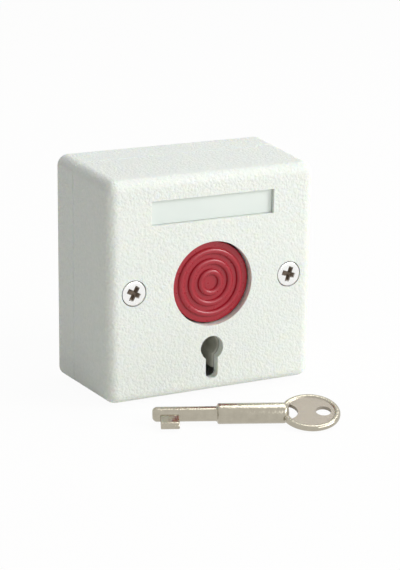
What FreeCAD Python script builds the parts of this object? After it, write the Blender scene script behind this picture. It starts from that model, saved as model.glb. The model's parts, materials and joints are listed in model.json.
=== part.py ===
import FreeCAD, Part
import math
import os
import Sketcher

# Key-reset panic button: a square two-part wall box with a recessed latching push button,
# a keyhole, two cover screws and the reset key that lies in front of it.
#
# Millimetres. X runs to the right, Z up, and the wall is the plane Y = 0. The box stands out of the
# wall towards -Y, so most depths are given as a distance forward of the wall, which is -Y.

Vector = FreeCAD.Vector
doc = FreeCAD.newDocument("panic_button")

# Driving dimensions
DIMENSIONS = (
    # Box
    ("width", "53", "side of the square box at the wall"),
    ("depth", "26.8", "wall to the front face"),
    ("base_depth", "8.3", "wall to the seam between base and cover"),
    ("draft", "1.95", "draft of the four sides in degrees"),
    ("edge_radius", "2.5", "round of the four long corners and the front edge"),
    ("wall", "2", "thickness of the side walls"),
    ("front_wall", "2", "thickness of the front wall"),
    ("back_wall", "2", "thickness of the back wall"),
    ("seam_chamfer", "0.25", "chamfer of each half along the seam"),
    ("lip_height", "1.2", "how far the cover's lip enters the base"),
    ("lip_clearance", "0.15", "play between lip and base"),
    # Cover screws and their posts
    ("screw_spacing", "38.9", "distance between the two cover screws"),
    ("screw_head_radius", "2.8", "radius of the pan head"),
    ("screw_head_height", "1.6", "height of the head"),
    ("screw_core_radius", "1.25", "radius of the screw's core"),
    ("screw_hole_radius", "1.7", "clearance hole in the cover post"),
    ("sink_clearance", "0.2", "radial gap between head and counterbore"),
    ("sink_depth", "1.5", "depth of the counterbore"),
    ("post_radius", "3.4", "radius of the screw posts in both halves"),
    ("post_gap", "0.1", "gap between the two posts"),
    ("base_post_height", "6.9", "height of the base's screw posts"),
    ("screw_bite", "3.6", "how far a cover screw enters the base's post"),
    ("pilot_clearance", "0.05", "play round a screw's core in its pilot hole"),
    ("cross_length", "3.4", "length of the cross recess"),
    ("cross_width", "0.75", "width of the cross recess"),
    ("cross_depth", "1.2", "depth of the cross recess"),
    # Label recess
    ("label_width", "30.4", "width of the label recess"),
    ("label_height", "5.6", "height of the label recess"),
    ("label_rise", "17.65", "centre of the label above the box's centre"),
    ("label_recess", "1.25", "depth of the label recess"),
    ("label_thickness", "0.25", "thickness of the blank label"),
    ("label_clearance", "0.1", "gap round the label"),
    # Push button
    ("button_bore", "9.85", "radius of the hole for the button"),
    ("button_gap", "0.35", "radial gap between button and hole"),
    ("button_recess", "2.4", "front face of the box to the button's face"),
    ("sleeve_wall", "1.2", "wall of the sleeve behind the hole"),
    ("sleeve_depth", "6.6", "length of the sleeve behind the front wall"),
    ("cap_wall", "1.4", "wall of the button's skirt"),
    ("cap_front", "2.2", "thickness of the button's face"),
    ("flange_rim", "0.7", "how far the flange overlaps the sleeve"),
    ("flange_thickness", "1", "thickness of the flange"),
    ("flange_gap", "0.15", "gap between flange and sleeve at rest"),
    ("groove_count", "3", "ring grooves in the button's face"),
    ("first_groove", "2.5", "radius of the middle of the first groove"),
    ("groove_pitch", "2.47", "distance from groove to groove"),
    ("groove_width", "1.3", "width of a groove"),
    ("groove_depth", "0.5", "depth of a groove"),
    ("travel", "3.5", "stroke of the button"),
    ("stem_width", "7", "stem across the box"),
    ("stem_height", "6", "stem up and down"),
    ("stem_clearance", "0.15", "play round the stem in the latch housing"),
    ("notch_depth", "1.4", "depth of the latch notch in the stem"),
    ("notch_clearance", "0.15", "play of the latch in the notch"),
    ("tongue_side", "2.4", "side of the square tongue that carries the bridge"),
    ("tongue_length", "1.5", "length of that tongue"),
    # Contacts
    ("block_half_width", "15", "half width of the switch block"),
    ("block_depth", "7.2", "depth of the switch block"),
    ("block_top", "16.5", "top of the switch block above the box's centre"),
    ("block_bottom", "4.8", "bottom of the switch block below the box's centre"),
    ("block_floor", "0.6", "floor under the stem's tongue"),
    ("cavity_play", "0.6", "gap at each end of the contact bridge"),
    ("cavity_half_height", "3.6", "half height of that hollow"),
    ("strip_thickness", "0.5", "thickness of the contact strips and the bridge"),
    ("strip_width", "3.5", "width of a contact strip"),
    ("strip_sink", "0.9", "front of the strips below the front of the block"),
    ("strip_clearance", "0.15", "play of a strip in its channel"),
    ("strip_end", "14.7", "upper end of the strips above the box's centre"),
    ("touch_gap", "0.05", "gap between bridge and closed contact"),
    ("bridge_half_height", "1.9", "half height of the contact bridge"),
    ("retainer_side", "4.4", "side of the square clip that holds the bridge"),
    ("retainer_thickness", "0.6", "thickness of that clip"),
    ("terminal_inset", "3.5", "normally closed terminals from the block's sides"),
    ("terminal_pitch", "5.8", "from there to the normally open terminals"),
    ("terminal_rise", "11.6", "terminal screws above the box's centre"),
    ("terminal_bottom", "6.8", "lower edge of the terminal recess"),
    ("barrier_thickness", "0.8", "thickness of the ribs between terminals"),
    ("barrier_height", "3.6", "height of those ribs above the strips"),
    ("clamp_side", "4.6", "side of a square wire clamp"),
    ("clamp_thickness", "0.8", "thickness of a wire clamp"),
    ("terminal_head_radius", "2.1", "head of a terminal screw"),
    ("terminal_head_height", "1.5", "height of that head"),
    ("terminal_core_radius", "1.2", "core of a terminal screw"),
    ("terminal_length", "3.6", "length of a terminal screw under its head"),
    ("driver_slot", "0.6", "width and depth of a driver slot"),
    ("fence_height", "2", "height of the ribs round the switch block"),
    ("fence_thickness", "0.8", "thickness of those ribs"),
    ("fence_length", "8", "length of each of those ribs"),
    ("fence_clearance", "0.15", "play of the block between those ribs"),
    # Latch and its housing
    ("latch_gap", "0.2", "play in front of and behind the latch"),
    ("latch_thickness", "1.2", "thickness of the latch plate"),
    ("latch_play", "0.2", "gap between latch and stem"),
    ("latch_travel", "2", "how far the key pushes the latch"),
    ("latch_half_height", "5", "half height of the latch's frame"),
    ("latch_bar", "3.5", "width of the bar that enters the notch"),
    ("latch_back_bar", "2.2", "width of the bar on the other side"),
    ("arm_gap", "2.2", "key axis to the latch's arm"),
    ("arm_width", "3.2", "width of the latch's arm"),
    ("arm_reach", "5.4", "end of the arm below the key axis"),
    ("housing_plate", "1.4", "thickness of the latch housing's plate"),
    ("housing_top", "6.2", "upper edge of the housing above the box's centre"),
    ("housing_sill", "0.6", "housing's plate below the end of the keyway"),
    ("rail_width", "4.4", "width of the housing's rails on the block"),
    ("guide_rib", "1", "thickness of the ribs that guide the latch"),
    ("spring_seat", "12.4", "inner face of the latch spring's seat"),
    ("seat_thickness", "1.6", "thickness of that seat"),
    ("latch_spring_rise", "2.5", "latch spring above the key axis"),
    ("fixing_radius", "1.15", "core of the housing's screws"),
    ("fixing_length", "9.4", "length of those screws under the head"),
    ("fixing_head_radius", "2.1", "head of the housing's screws"),
    ("fixing_head_height", "1.4", "height of that head"),
    ("fixing_hole_radius", "1.35", "clearance holes for those screws"),
    ("fixing_spacing", "25", "distance between the housing's screws"),
    ("fixing_drop", "7.8", "those screws below the box's centre"),
    ("boss_side", "4.8", "side of the square posts for those screws"),
    # Keyhole and keyway
    ("key_gap", "0.7", "gap between the button's sleeve and the keyway tower"),
    ("keyhole_radius", "2.85", "round part of the keyhole in the cover"),
    ("keyhole_slot", "3.1", "width of the keyhole's slot"),
    ("keyhole_reach", "7.3", "end of the slot below the key axis"),
    ("tower_gap", "0.3", "gap between keyway tower and front wall"),
    ("tower_wall", "1", "wall of the keyway tower"),
    ("key_clearance", "0.15", "play round the key's sleeve"),
    ("shaft_clearance", "0.15", "play round the key's shaft"),
    ("bit_clearance", "0.3", "play of the bit in the keyway"),
    ("key_stop", "5.3", "depth of the keyway's wide bore"),
    # Springs
    ("return_wire", "0.6", "wire of the return spring"),
    ("return_radius", "5.6", "mean radius of the return spring"),
    ("return_turns", "4", "turns of the return spring"),
    ("return_pieces", "12", "straight pieces in a turn of the return spring"),
    ("latch_wire", "0.35", "wire of the latch spring"),
    ("latch_spring_radius", "1.3", "mean radius of the latch spring"),
    ("latch_turns", "4", "turns of the latch spring"),
    ("latch_pieces", "8", "straight pieces in a turn of the latch spring"),
    ("spring_end_gap", "0.05", "gap at each end of a spring"),
    # Mounting
    ("mount_spacing", "37.2", "square pattern of the wall screw holes"),
    ("mount_hole_radius", "2", "wall screw holes"),
    ("cable_width", "14", "width of the cable entry"),
    ("cable_height", "5", "height of the cable entry"),
    ("cable_rise", "20.8", "cable entry above the box's centre"),
    # Reset key
    ("shaft_radius", "1.65", "thin shaft of the key"),
    ("shaft_length", "14.2", "tip to the sleeve"),
    ("key_sleeve_radius", "2.3", "thick sleeve of the key"),
    ("key_sleeve_end", "28.9", "tip to the end of the sleeve"),
    ("key_length", "41.4", "overall length of the key"),
    ("bow_radius", "6.6", "radius of the round bow"),
    ("bow_thickness", "1.4", "thickness of the bow"),
    ("neck_width", "4.2", "width of the neck between sleeve and bow"),
    ("neck_root", "1.8", "how deep the neck's root sits in the sleeve"),
    ("neck_end", "2.8", "how far the neck runs into the bow"),
    ("ring_hole_radius", "1.7", "hole for a key ring"),
    ("ring_hole_inset", "3.75", "centre of that hole from the bow's end"),
    ("root_hole_radius", "1.9", "opening at the root of the bow"),
    ("bit_start", "1.7", "tip to the bit"),
    ("bit_length", "4.1", "length of the bit"),
    ("bit_reach", "5.2", "key axis to the end of the bit"),
    ("bit_thickness", "1.7", "thickness of the bit"),
    ("bit_chamfer", "0.35", "chamfer of the bit's end"),
    ("key_across", "20.4", "key's tip to the left of the box's middle"),
    ("key_forward", "38.5", "place of the key's tip forward of the wall"),
    ("key_angle", "-22.6", "direction of the key in degrees from X"),
)
sheet = doc.addObject("Spreadsheet::Sheet", "dims")
for row, (alias, value, meaning) in enumerate(DIMENSIONS, start=1):
    sheet.set(f"A{row}", alias)
    sheet.set(f"B{row}", value)
    sheet.set(f"C{row}", meaning)
    sheet.setAlias(f"B{row}", alias)
doc.recompute()

# Stations forward of the wall
FRONT = "dims.depth"
SEAM = "dims.base_depth"
COVER_INSIDE = "(dims.depth - dims.front_wall)"
FLOOR = "dims.back_wall"
BUTTON_FACE = "(dims.depth - dims.button_recess)"
CAP_INSIDE = f"({BUTTON_FACE} - dims.cap_front)"
SLEEVE_END = f"({COVER_INSIDE} - dims.sleeve_depth)"
FLANGE_FRONT = f"({SLEEVE_END} - dims.flange_gap)"
CAP_BACK = f"({FLANGE_FRONT} - dims.flange_thickness)"
BLOCK_FRONT = "(dims.back_wall + dims.block_depth)"
LATCH_BACK = f"({BLOCK_FRONT} + dims.latch_gap)"
LATCH_FRONT = f"({LATCH_BACK} + dims.latch_thickness)"
PLATE_BACK = f"({LATCH_FRONT} + dims.latch_gap)"
PLATE_FRONT = f"({PLATE_BACK} + dims.housing_plate)"
TOWER_FRONT = f"({COVER_INSIDE} - dims.tower_gap)"
KEY_STOP = f"({TOWER_FRONT} - dims.key_stop)"
STRIP_FRONT = f"({BLOCK_FRONT} - dims.strip_sink)"
STRIP_BACK = f"({STRIP_FRONT} - dims.strip_thickness)"
BRIDGE_FRONT = f"({STRIP_BACK} - dims.touch_gap)"
BRIDGE_BACK = f"({BRIDGE_FRONT} - dims.strip_thickness)"
OPEN_FRONT = f"({BRIDGE_BACK} - dims.travel - 2 * dims.touch_gap)"
OPEN_BACK = f"({OPEN_FRONT} - dims.strip_thickness)"
WELL_FLOOR = "(dims.back_wall + dims.block_floor)"
POST_TOP = "(dims.back_wall + dims.base_post_height)"

# Places across and up
SCREW_X = "dims.screw_spacing / 2"
SLEEVE_BORE = "(dims.key_sleeve_radius + dims.key_clearance)"
KEY_DROP = f"(dims.button_bore + dims.sleeve_wall + dims.key_gap + {SLEEVE_BORE} + dims.tower_wall)"
KEY_Z = f"-{KEY_DROP}"
SHAFT_BORE = "(dims.shaft_radius + dims.shaft_clearance)"
KEYWAY_HALF = "(dims.bit_thickness / 2 + dims.bit_clearance)"
KEYWAY_REACH = "(dims.bit_reach + dims.bit_clearance)"
CAP_RADIUS = "(dims.button_bore - dims.button_gap)"
CLOSED_TERMINAL = "(dims.block_half_width - dims.terminal_inset)"
OPEN_TERMINAL = f"({CLOSED_TERMINAL} - dims.terminal_pitch)"
SCREW_END = f"({POST_TOP} - dims.screw_bite)"
SIDES = (("left", "-1"), ("right", "1"))


def half_side(forward):
    """Half the box's outer side at a distance forward of the wall."""
    return f"(dims.width / 2 - ({forward}) * tan(dims.draft * 1deg))"


def number(expression):
    """Value of an expression over the sheet."""
    value = sheet.evalExpression(expression)
    return float(getattr(value, "Value", value))


def new_body(label):
    body = doc.addObject("PartDesign::Body", label)
    body.Label = label
    return body


def new_sketch(body, name, forward="0", role="XZ_Plane"):
    """Sketch on one of the body's own planes; on the XZ plane it is set forward of the wall."""
    sketch = body.newObject("Sketcher::SketchObject", name)
    plane = next(plane for plane in body.Origin.OriginFeatures if plane.Role == role)
    sketch.AttachmentSupport = [(plane, "")]
    sketch.MapMode = "FlatFace"
    if forward != "0":
        sketch.setExpression("AttachmentOffset.Base.z", forward)
    return sketch


def pin(sketch, geometry, vertex, across, up):
    """Fix a vertex at a place given by two expressions."""
    for kind, axis, expression in (("DistanceX", -2, across), ("DistanceY", -1, up)):
        if expression == "0":
            sketch.addConstraint(Sketcher.Constraint("PointOnObject", geometry, vertex, axis))
            continue
        rule = Sketcher.Constraint(kind, -1, 1, geometry, vertex, number(expression))
        index = sketch.addConstraint(rule)
        sketch.setExpression(f"Constraints[{index}]", expression)


def circle(sketch, across, up, radius):
    centre = Vector(number(across), number(up), 0)
    shape = Part.Circle(centre, Vector(0, 0, 1), number(radius))
    geometry = sketch.addGeometry(shape)
    pin(sketch, geometry, 3, across, up)
    index = sketch.addConstraint(Sketcher.Constraint("Radius", geometry, number(radius)))
    sketch.setExpression(f"Constraints[{index}]", radius)


def outline(sketch, corners):
    """Closed outline of straight edges through the corners, each a pair of expressions."""
    points = [Vector(number(across), number(up), 0) for across, up in corners]
    first = sketch.GeometryCount
    count = len(corners)
    for index in range(count):
        sketch.addGeometry(Part.LineSegment(points[index], points[(index + 1) % count]))
    for index, (across, up) in enumerate(corners):
        follower = first + (index + 1) % count
        sketch.addConstraint(Sketcher.Constraint("Coincident", first + index, 2, follower, 1))
        pin(sketch, first + index, 1, across, up)


def rectangle(sketch, left, bottom, right, top):
    outline(sketch, ((left, bottom), (right, bottom), (right, top), (left, top)))


def square(sketch, half):
    rectangle(sketch, f"-({half})", f"-({half})", half, half)


def rounded(sketch, half_width, half_height, radius, up="0"):
    """Rectangle with four round corners, centred at a height over the middle."""
    wide, high, small = number(half_width), number(half_height), number(radius)
    middle = number(up)
    straight = (
        ((-1, -1, 1, 0), (1, -1, -1, 0)),
        ((1, -1, 0, 1), (1, 1, 0, -1)),
        ((1, 1, -1, 0), (-1, 1, 1, 0)),
        ((-1, 1, 0, -1), (-1, -1, 0, 1)),
    )
    first = sketch.GeometryCount
    for start, end in straight:
        ends = [Vector(x * wide + a * small, middle + z * high + b * small, 0) for x, z, a, b in (start, end)]
        sketch.addGeometry(Part.LineSegment(*ends))
    for corner, (x, z) in enumerate(((1, -1), (1, 1), (-1, 1), (-1, -1))):
        centre = Vector(x * (wide - small), middle + z * (high - small), 0)
        ring = Part.Circle(centre, Vector(0, 0, 1), small)
        begin = math.radians(90 * corner - 90)
        sketch.addGeometry(Part.ArcOfCircle(ring, begin, begin + math.pi / 2))
    for side, ends in enumerate(straight):
        arc = first + 4 + side
        following = first + (side + 1) % 4
        sketch.addConstraint(Sketcher.Constraint("Tangent", first + side, 2, arc, 1))
        sketch.addConstraint(Sketcher.Constraint("Coincident", arc, 2, following, 1))
        for vertex, (x, z, a, b) in enumerate(ends, start=1):
            place = f"{x} * ({half_width}) + {a} * ({radius})"
            height = f"({up}) + {z} * ({half_height}) + {b} * ({radius})"
            pin(sketch, first + side, vertex, place, height)


def pad(sketch, length, taper=None, backward=False):
    body = sketch.getParentGeoFeatureGroup()
    feature = body.newObject("PartDesign::Pad", f"{sketch.Name}_pad")
    feature.Profile = sketch
    feature.setExpression("Length", length)
    feature.Reversed = backward
    if taper:
        feature.setExpression("TaperAngle", taper)
    sketch.Visibility = False
    return feature


def pocket(sketch, length, taper=None, forward=False):
    body = sketch.getParentGeoFeatureGroup()
    feature = body.newObject("PartDesign::Pocket", f"{sketch.Name}_cut")
    feature.Profile = sketch
    feature.setExpression("Length", length)
    feature.Reversed = forward
    if taper:
        feature.setExpression("TaperAngle", taper)
    sketch.Visibility = False
    return feature


def revolve(sketch, kind="PartDesign::Revolution", axis="V_Axis"):
    body = sketch.getParentGeoFeatureGroup()
    feature = body.newObject(kind, f"{sketch.Name}_turned")
    feature.Profile = sketch
    feature.ReferenceAxis = (sketch, [axis])
    feature.Angle = 360
    return feature


def posts(body, name, centres, radius, start, end):
    """Round posts from one station forward of the wall to another."""
    sketch = new_sketch(body, name, start)
    for across, up in centres:
        circle(sketch, across, up, radius)
    return pad(sketch, f"{end} - ({start})")


def holes(body, name, centres, radius, start, end):
    """Round holes cut from the front station back to the start station."""
    sketch = new_sketch(body, name, end)
    for across, up in centres:
        circle(sketch, across, up, radius)
    return pocket(sketch, f"{end} - ({start})")


def slabs(body, name, boxes, start, end):
    """Rectangular blocks between two stations forward of the wall."""
    sketch = new_sketch(body, name, start)
    for box in boxes:
        rectangle(sketch, *box)
    return pad(sketch, f"{end} - ({start})")


def cutouts(body, name, boxes, start, end):
    """Rectangular hollows cut from the front station back to the start station."""
    sketch = new_sketch(body, name, end)
    for box in boxes:
        rectangle(sketch, *box)
    return pocket(sketch, f"{end} - ({start})")


def edges_where(feature, test):
    """Names of the feature's edges that pass a test."""
    doc.recompute()
    return [f"Edge{index}" for index, edge in enumerate(feature.Shape.Edges, start=1) if test(edge)]


def on_station(edge, forward):
    box = edge.BoundBox
    return abs(box.YMin + forward) < 1e-4 and abs(box.YMax + forward) < 1e-4


def dress(feature, kind, size, edges):
    """Fillet or chamfer on some of a feature's edges."""
    body = feature.getParentGeoFeatureGroup()
    result = body.newObject(kind, f"{feature.Name}_edge")
    result.Base = (feature, edges)
    value = "Radius" if kind.endswith("Fillet") else "Size"
    result.setExpression(value, size)
    return result


def outer_rim(feature, forward):
    """Edges of the box's outer outline at a station."""
    limit = number(half_side(repr(forward))) - number("dims.wall") / 2

    def test(edge):
        if not on_station(edge, forward):
            return False
        middle = edge.valueAt((edge.FirstParameter + edge.LastParameter) / 2)
        return max(abs(middle.x), abs(middle.z)) > limit

    return edges_where(feature, test)


def long_edges(feature):
    """Edges that run from one end of a block's depth to the other."""
    doc.recompute()
    whole = feature.Shape.BoundBox.YLength
    return edges_where(feature, lambda edge: edge.BoundBox.YLength > 0.99 * whole)


def around(half):
    """Sides of a square round the middle."""
    return (f"-({half})", f"-({half})", half, half)


def pair(half, up):
    """Two places, one each side of the middle."""
    return ((f"-({half})", up), (half, up))


def make_base():
    """Tray that is screwed to the wall and carries the switch."""
    body = new_body("base")
    shell = new_sketch(body, "base_outline")
    square(shell, half_side("0"))
    outer = pad(shell, SEAM, "-dims.draft")
    rounded_outer = dress(outer, "PartDesign::Fillet", "dims.edge_radius", long_edges(outer))
    rim = outer_rim(rounded_outer, number(SEAM))
    dress(rounded_outer, "PartDesign::Chamfer", "dims.seam_chamfer", rim)
    hollow = new_sketch(body, "base_hollow", SEAM)
    inside = f"({half_side(SEAM)} - dims.wall)"
    square(hollow, inside)
    pocket(hollow, f"{SEAM} - {FLOOR}")
    rebate = new_sketch(body, "base_rebate", SEAM)
    step = f"({half_side(SEAM)} - dims.wall / 2)"
    rounded(rebate, step, step, "dims.edge_radius - dims.wall / 2")
    pocket(rebate, "dims.lip_height + dims.lip_clearance")
    posts(body, "base_screw_posts", pair(SCREW_X, "0"), "dims.post_radius", FLOOR, POST_TOP)
    pilot = "dims.screw_core_radius + dims.pilot_clearance"
    holes(body, "base_screw_pilots", pair(SCREW_X, "0"), pilot, "dims.back_wall * 1.5", POST_TOP)
    fixings = pair("dims.fixing_spacing / 2", "-dims.fixing_drop")
    half_boss = "dims.boss_side / 2"
    bosses = [
        (f"{across} - {half_boss}", f"{up} - {half_boss}", f"{across} + {half_boss}", f"{up} + {half_boss}")
        for across, up in fixings
    ]
    slabs(body, "housing_posts", bosses, FLOOR, PLATE_BACK)
    fixing = "dims.fixing_radius + dims.pilot_clearance"
    fixing_end = f"({PLATE_FRONT} - dims.fixing_length - dims.pilot_clearance)"
    holes(body, "housing_pilots", fixings, fixing, fixing_end, PLATE_BACK)
    beside = "(dims.block_half_width + dims.fence_clearance)"
    outside = f"({beside} + dims.fence_thickness)"
    above = "(dims.block_top + dims.fence_clearance)"
    fence_low = "(dims.block_top - 1.2 * dims.fence_length)"
    fence_high = f"({fence_low} + dims.fence_length)"
    fence = (
        ("-dims.fence_length / 2", above, "dims.fence_length / 2", f"{above} + dims.fence_thickness"),
        (f"-{outside}", fence_low, f"-{beside}", fence_high),
        (beside, fence_low, outside, fence_high),
    )
    slabs(body, "block_fence", fence, FLOOR, f"({FLOOR} + dims.fence_height)")
    corner = "dims.mount_spacing / 2"
    corners = pair(corner, corner) + pair(corner, f"-{corner}")
    holes(body, "wall_holes", corners, "dims.mount_hole_radius", "0", FLOOR)
    cable = new_sketch(body, "cable_entry", FLOOR)
    rounded(cable, "dims.cable_width / 2", "dims.cable_height / 2", "dims.cable_height / 4", "dims.cable_rise")
    pocket(cable, FLOOR)
    return body


def make_front_cover():
    """Drafted cover with the button hole, keyhole, label recess and screw posts."""
    body = new_body("front_cover")
    shell = new_sketch(body, "cover_outline", SEAM)
    seam_side = half_side(SEAM)
    square(shell, seam_side)
    outer = pad(shell, f"{FRONT} - {SEAM}", "-dims.draft")
    edges = long_edges(outer) + edges_where(outer, lambda edge: on_station(edge, number(FRONT)))
    rounded_outer = dress(outer, "PartDesign::Fillet", "dims.edge_radius", edges)
    rim = outer_rim(rounded_outer, number(SEAM))
    dress(rounded_outer, "PartDesign::Chamfer", "dims.seam_chamfer", rim)
    inside = f"({seam_side} - dims.wall)"
    hollow = new_sketch(body, "cover_hollow", SEAM)
    square(hollow, inside)
    pocket(hollow, f"{COVER_INSIDE} - {SEAM}", "-dims.draft", forward=True)
    lip = new_sketch(body, "cover_lip", SEAM)
    lip_side = f"({seam_side} - dims.wall / 2 - dims.lip_clearance)"
    lip_corner = "dims.edge_radius - dims.wall / 2 - dims.lip_clearance"
    rounded(lip, lip_side, lip_side, lip_corner)
    square(lip, inside)
    pad(lip, "dims.lip_height", backward=True)
    middle = (("0", "0"),)
    sleeve = new_sketch(body, "button_sleeve", SLEEVE_END)
    circle(sleeve, "0", "0", "dims.button_bore + dims.sleeve_wall")
    pad(sleeve, "dims.sleeve_depth")
    holes(body, "button_hole", middle, "dims.button_bore", SLEEVE_END, FRONT)
    post_end = f"({POST_TOP} + dims.post_gap)"
    posts(body, "cover_screw_posts", pair(SCREW_X, "0"), "dims.post_radius", post_end, COVER_INSIDE)
    holes(body, "cover_screw_holes", pair(SCREW_X, "0"), "dims.screw_hole_radius", post_end, FRONT)
    sink = "dims.screw_head_radius + dims.sink_clearance"
    holes(body, "screw_sinks", pair(SCREW_X, "0"), sink, f"({FRONT} - dims.sink_depth)", FRONT)
    label = new_sketch(body, "label_recess", FRONT)
    half_label = "dims.label_width / 2"
    label_low = "dims.label_rise - dims.label_height / 2"
    label_high = "dims.label_rise + dims.label_height / 2"
    rectangle(label, f"-{half_label}", label_low, half_label, label_high)
    pocket(label, "dims.label_recess")
    holes(body, "keyhole_round", (("0", KEY_Z),), "dims.keyhole_radius", COVER_INSIDE, FRONT)
    slot = new_sketch(body, "keyhole_slot", FRONT)
    slot_half = "dims.keyhole_slot / 2"
    slot_height = "dims.keyhole_reach / 2"
    rounded(slot, slot_half, slot_height, "dims.keyhole_slot * 0.45", f"{KEY_Z} - dims.keyhole_reach / 2")
    pocket(slot, "dims.front_wall")
    return body


def make_label():
    """Blank write-on strip in its recess."""
    body = new_body("label_strip")
    back = f"({FRONT} - dims.label_recess)"
    half = "(dims.label_width / 2 - dims.label_clearance)"
    high = "(dims.label_height / 2 - dims.label_clearance)"
    box = (f"-{half}", f"dims.label_rise - {high}", half, f"dims.label_rise + {high}")
    slabs(body, "label_outline", (box,), back, f"({back} + dims.label_thickness)")
    return body


def make_cover_screw(side, sign):
    """Pan-head screw with a cross recess; its own origin is under the head."""
    body = new_body(f"cover_screw_{side}")
    head, high, core = "dims.screw_head_radius", "dims.screw_head_height", "dims.screw_core_radius"
    shank = f"({FRONT} - dims.sink_depth - {SCREW_END})"
    shape = new_sketch(body, f"cover_screw_{side}_profile", role="XY_Plane")
    outline(shape, (
        ("0", f"-{high}"),
        (head, f"-{high}"),
        (head, "0"),
        (core, "0"),
        (core, shank),
        ("0", shank),
    ))
    revolve(shape)
    cross = new_sketch(body, f"cover_screw_{side}_cross", high)
    long, thin = "dims.cross_length / 2", "dims.cross_width / 2"
    outline(cross, (
        (f"-{long}", f"-{thin}"), (f"-{thin}", f"-{thin}"), (f"-{thin}", f"-{long}"),
        (thin, f"-{long}"), (thin, f"-{thin}"), (long, f"-{thin}"),
        (long, thin), (thin, thin), (thin, long),
        (f"-{thin}", long), (f"-{thin}", thin), (f"-{long}", thin),
    ))
    pocket(cross, "dims.cross_depth")
    body.setExpression("Placement.Base.x", f"{sign} * {SCREW_X}")
    body.setExpression("Placement.Base.y", f"-({FRONT} - dims.sink_depth)")
    return body


def make_push_button():
    """Red button in one moulding: ringed face, skirt with a stop flange, and the notched stem."""
    body = new_body("push_button")
    profile = new_sketch(body, "button_profile", role="XY_Plane")
    inner = f"({CAP_RADIUS} - dims.cap_wall)"
    flange = "(dims.button_bore + dims.flange_rim)"
    outline(profile, (
        ("0", f"-{BUTTON_FACE}"),
        (CAP_RADIUS, f"-{BUTTON_FACE}"),
        (CAP_RADIUS, f"-{FLANGE_FRONT}"),
        (flange, f"-{FLANGE_FRONT}"),
        (flange, f"-{CAP_BACK}"),
        (inner, f"-{CAP_BACK}"),
        (inner, f"-{CAP_INSIDE}"),
        ("0", f"-{CAP_INSIDE}"),
    ))
    revolve(profile)
    grooves = new_sketch(body, "button_grooves", role="XY_Plane")
    bottom = f"-({BUTTON_FACE} - dims.groove_depth)"
    for index in range(int(number("dims.groove_count"))):
        middle = f"(dims.first_groove + {index} * dims.groove_pitch)"
        near, far = f"{middle} - dims.groove_width / 2", f"{middle} + dims.groove_width / 2"
        outline(grooves, ((near, f"-{BUTTON_FACE}"), (near, bottom), (far, bottom), (far, f"-{BUTTON_FACE}")))
    revolve(grooves, "PartDesign::Groove")
    wide, high = "dims.stem_width / 2", "dims.stem_height / 2"
    stem = (f"-{wide}", f"-{high}", wide, high)
    slabs(body, "stem", (stem,), BRIDGE_FRONT, CAP_INSIDE)
    notch = (f"{wide} - dims.notch_depth", f"-{high}", wide, high)
    notch_back = f"({LATCH_BACK} - dims.notch_clearance + dims.travel)"
    notch_front = f"({LATCH_FRONT} + dims.notch_clearance + dims.travel)"
    cutouts(body, "latch_notch", (notch,), notch_back, notch_front)
    tongue_end = f"({BRIDGE_FRONT} - dims.tongue_length)"
    slabs(body, "bridge_tongue", (around("dims.tongue_side / 2"),), tongue_end, BRIDGE_FRONT)
    return body


def make_contact_bridge():
    """Springy strip across the stem's end that joins one pair of contacts or the other."""
    body = new_body("contact_bridge")
    long, high = CLOSED_TERMINAL, "dims.bridge_half_height"
    slabs(body, "bridge_outline", ((f"-{long}", f"-{high}", long, high),), BRIDGE_BACK, BRIDGE_FRONT)
    hole = "dims.tongue_side / 2 + dims.pilot_clearance"
    cutouts(body, "bridge_hole", (around(hole),), BRIDGE_BACK, BRIDGE_FRONT)
    return body


def make_bridge_retainer():
    """Push-on clip behind the bridge."""
    body = new_body("bridge_retainer")
    sketch = new_sketch(body, "retainer_outline", f"{BRIDGE_BACK} - dims.retainer_thickness")
    square(sketch, "dims.retainer_side / 2")
    square(sketch, "dims.tongue_side / 2 + dims.pilot_clearance / 2")
    pad(sketch, "dims.retainer_thickness")
    return body


def terminal_place(kind, sign):
    distance = CLOSED_TERMINAL if kind == "closed" else OPEN_TERMINAL
    return f"{sign} * {distance}"


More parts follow.
